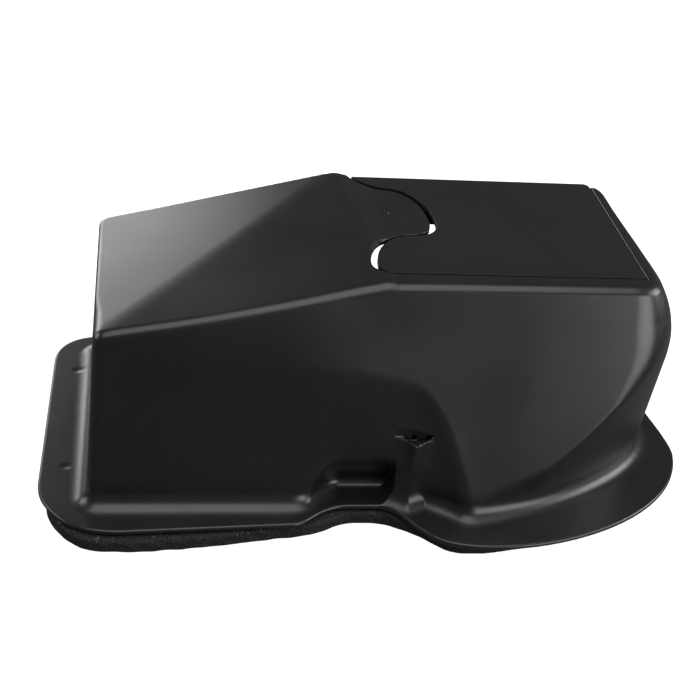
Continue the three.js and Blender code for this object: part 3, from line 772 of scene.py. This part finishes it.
def board(name):
    n = Nodes(name, 0.85, specular=0.25)
    fibres = n.noise(480, 5, 0.65)
    n.colour(n.blend(n.ranged(fibres, 0.3, 0.7, 0, 1), (0.5, 0.46, 0.36), (0.66, 0.62, 0.52)))
    n.bump(fibres, 0.06, 0.5)
    return n.material


def adhesive_film(name):
    n = Nodes(name, 0.35, specular=0.5)
    haze = n.noise(140, 3)
    n.colour(n.blend(n.ranged(haze, 0.3, 0.7, 0, 1), (0.5, 0.49, 0.44), (0.68, 0.67, 0.62)))
    n.roughness(n.ranged(haze, 0.3, 0.7, 0.28, 0.5))
    n.bump(haze, 0.1, 0.4)
    return n.material


def zinc(name):
    n = Nodes(name, 0.32, metallic=1.0)
    haze = n.noise(520, 4)
    n.colour(n.blend(n.ranged(haze, 0.3, 0.7, 0, 1), (0.5, 0.5, 0.5), (0.66, 0.66, 0.64)))
    n.roughness(n.ranged(haze, 0.3, 0.7, 0.26, 0.42))
    n.bump(n.noise(1, 2, 0.5, n.stretched((2600, 2600, 300))), 0.01, 0.5)
    return n.material


SHELL = moulded_plastic("satin_black_shell", (0.0075, 0.0076, 0.0084), (0.0125, 0.0126, 0.0135), 0.32, 0.5)
INNER = moulded_plastic("satin_black_inner", (0.012, 0.012, 0.013), (0.02, 0.02, 0.021), 0.5, 0.45,
                        streaks=False)
GREY = moulded_plastic("grey_clip", (0.24, 0.25, 0.26), (0.3, 0.31, 0.32), 0.45, 0.5, streaks=False)
FOAM = foam("open_cell_foam")
FOAM_EDGE = foam("open_cell_foam_with_adhesive", 0.8)
PAPER = paper("pleated_paper")
BOARD = board("frame_board")
FILM = adhesive_film("adhesive_film")
ZINC = zinc("zinc_plate")


def paint(obj, material):
    if obj.material_slots:
        for s in obj.material_slots:
            s.material = material
    else:
        obj.data.materials.append(material)


# ---- housing shell ----------------------------------------------------------------------------

def make_shell():
    step, fine = ((1.3, 0.65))
    xs = lines(-5, 334.6, step, (162, 194, fine))
    ys = lines(-17.5, 171, step, (4, 34, fine))
    zs = lines(-4.6, 122, step, (-4.6, 3, fine), (8, 43, step * 0.7))
    verts, quads = surface(shell, xs, ys, zs)
    obj = make_dense("housing_shell_skin", verts, quads)
    thin_out(obj, 0.3)
    combine(obj, flared(opening_outline(), OPENING_LOW, ROOF_Z - 0.2, 4.0), "DIFFERENCE")
    smooth_by_field(obj, shell)
    return obj


housing = make_shell()
paint(housing, SHELL)
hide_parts("housing_shell")
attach(housing, "housing")

lid = make_lid()
paint(lid, SHELL)
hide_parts("access_lid")
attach(lid, "lid")


# ---- foam pieces ------------------------------------------------------------------------------

def lumps(x, y, z, size):
    """Gentle unevenness of cut foam, from 0 to size."""
    a = np.sin(x / 5.3 + 1.7 * np.sin(y / 7.1)) * np.sin(y / 4.7 + 1.3 * np.sin(x / 9.7))
    b = np.sin(x / 1.9 + z / 1.3) * np.sin(y / 2.3 - z / 1.7)
    return size * (0.5 + 0.3 * a + 0.2 * b)


def gasket(x, y, z):
    flat = np.zeros_like(z)
    foot = np.maximum(walls(x, y, flat), -notch(x, y, flat))
    uneven = lumps(x, y, z, 0.9)
    return round_max(1.6, GASKET(x, y) + uneven, -(foot + 1.0) + 0.3, z - FOAM_TOP + 0.3 * uneven, BASE_Z - z)


def inlet_seal(x, y, z):
    start = 155.8 + REAR_LEAN * z
    uneven = lumps(x, z, y, 0.5)
    around = INLET(x, z)
    return round_max(1.4, around - 4.7 + uneven, 0.1 + uneven - around, start - y, y - start - 7 + uneven)


def strip(x0, x1, y0, y1, z0, z1):
    return lambda x, y, z: block((x, y, z), x0, x1, y0, y1, z0, z1, 0.7) + lumps(x, y, z, 0.2)


def element_seal(x, y, z):
    outer = np.maximum(np.maximum(37.3 - x, x - 258.7), np.maximum(44.3 - y, y - 135.7))
    inner = np.maximum(np.maximum(41.8 - x, x - 254.2), np.maximum(48.8 - y, y - 131.2))
    return round_max(0.7, outer, -inner, 24.8 - z, z - 27.7) + lumps(x, y, z, 0.15)


def add_foam(name, field, node, material, xs, ys, zs, ratio=0.5):
    verts, quads = surface(field, xs, ys, zs)
    obj = make_dense(name, verts, quads)
    thin_out(obj, ratio)
    smooth_by_field(obj, field, 60, 0.25)
    paint(obj, material)
    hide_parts(node)
    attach(obj, "housing")


add_foam("flange_gasket_foam", gasket, "flange_gasket", FOAM_EDGE,
         lines(0, 327, 1.3), lines(-10, 168, 1.3), lines(-12.3, -2.4, 0.8))
add_foam("inlet_seal_foam", inlet_seal, "inlet_seal", FOAM,
         lines(62, 270, 1.2), lines(145, 165, 0.9), lines(37, 111, 1.2))
add_foam("lid_seal_front_foam", strip(172, 280, 46.6, 51.4, 110.7, 112.8), "lid_seal_front", FOAM,
         lines(170.6, 281.5, 0.9), lines(45.7, 52.4, 0.45), lines(109.8, 113.7, 0.35))
add_foam("lid_seal_rear_foam", strip(172, 280, 140.1, 144.9, 110.7, 112.8), "lid_seal_rear", FOAM,
         lines(170.6, 281.5, 0.9), lines(139.2, 145.9, 0.45), lines(109.8, 113.7, 0.35))
add_foam("filter_seal_foam", element_seal, "filter_seal", FOAM,
         lines(35.9, 260.2, 1.1), lines(42.9, 137.2, 1.1), lines(23.9, 28.6, 0.45))

# ---- CAD nodes that stay ------------------------------------------------------------------------

LOOKS = {"inlet_collar": (INNER, 0.5), "filter_carrier": (INNER, 0.4), "filter_frame": (BOARD, 0.3),
         "filter_media": (PAPER, 0), "gasket_adhesive_film": (FILM, 0)}
for i in range(1, 7):
    LOOKS[f"carrier_screw_{i}"] = (ZINC, 0.15)
for i in range(1, 5):
    LOOKS[f"turn_clip_{i}"] = (GREY, 0.5)
    LOOKS[f"clip_screw_{i}"] = (ZINC, 0.15)
for name, (look, width) in LOOKS.items():
    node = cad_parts[name]
    paint(node, look)
    if width:
        bevel(node, width, 2, 32)

# ---- camera, floor and lights -------------------------------------------------------------------

YAW, ELEVATION, ROLL = 0.177724, 0.570737, 0.11108      # radians; the camera looks down by ELEVATION
CAMERA_PLACE = (-0.12043, -0.60134, 0.45570)
LENS, SENSOR = 73.21, 36                                # mm
level = math.cos(ELEVATION)
forward = Vector((math.sin(YAW) * level, math.cos(YAW) * level, -math.sin(ELEVATION)))
right = Vector((math.cos(YAW), -math.sin(YAW), 0))
up = right.cross(forward)
across = math.cos(ROLL) * right + math.sin(ROLL) * up
upward = -math.sin(ROLL) * right + math.cos(ROLL) * up
camera = bpy.data.objects.new("camera", bpy.data.cameras.new("camera"))
camera.data.lens, camera.data.sensor_width = LENS, SENSOR
turn = Matrix((across, upward, -forward)).transposed()
camera.matrix_world = Matrix.Translation(CAMERA_PLACE) @ turn.to_4x4()
bpy.context.scene.collection.objects.link(camera)
bpy.context.scene.camera = camera


def add_floor():
    n = Nodes("pale_floor", 0.9, specular=0.1)
    n.colour(n.blend(n.noise(6, 2), (0.36, 0.36, 0.36), (0.4, 0.4, 0.4)))
    n.shader.inputs["Emission Color"].default_value = (1, 1, 1, 1)
    n.shader.inputs["Emission Strength"].default_value = 0.97
    mesh = bpy.data.meshes.new("floor")
    half = 30.0
    corners = [(-half, -half, 0), (half, -half, 0), (half, half, 0), (-half, half, 0)]
    mesh.from_pydata(corners, [], [(0, 1, 2, 3)])
    floor = bpy.data.objects.new("floor", mesh)
    floor.location.z = -0.0005
    floor.visible_glossy = False
    floor.visible_diffuse = False
    mesh.materials.append(n.material)
    bpy.context.scene.collection.objects.link(floor)


# Name, azimuth and elevation in degrees, width and height in metres, watts.
LIGHTS = [
    ("window_rear_left", -28, 12, (0.8, 0.45), 5.6),
    ("side_left", -80, 22, (0.8, 0.6), 6.0),
    ("fill_front_right", 138, 6, (0.7, 0.7), 8.2),
    ("fill_right", 95, 20, (0.7, 0.7), 12.0),
    ("top_front", 180, 70, (1.2, 1.2), 12.0),
]
LIGHT_DISTANCE, WORLD_STRENGTH = 1.3, 0.14


def add_light(name, azimuth, elevation, size, watts):
    """A soft light. The azimuth is in degrees from straight behind the part, clockwise from above."""
    turn, lift = math.radians(azimuth), math.radians(elevation)
    away = Vector((math.sin(turn) * math.cos(lift), math.cos(turn) * math.cos(lift), math.sin(lift)))
    lamp = bpy.data.lights.new(name, "AREA")
    lamp.shape, lamp.size, lamp.size_y, lamp.energy = "RECTANGLE", size[0], size[1], watts
    obj = bpy.data.objects.new(name, lamp)
    obj.location = Vector((0, 0, 0.05)) + away * LIGHT_DISTANCE
    obj.rotation_euler = (-away).to_track_quat("-Z", "Y").to_euler()
    bpy.context.scene.collection.objects.link(obj)


def add_world():
    world = bpy.data.worlds.new("studio")
    world.use_nodes = True
    sky = world.node_tree.nodes["Background"]
    sky.inputs["Color"].default_value = (1, 1, 1, 1)
    sky.inputs["Strength"].default_value = WORLD_STRENGTH
    bpy.context.scene.world = world


add_floor()
add_world()
for light in LIGHTS:
    add_light(*light)
scene = bpy.context.scene
scene.view_settings.view_transform = "Standard"
scene.view_settings.look = "None"
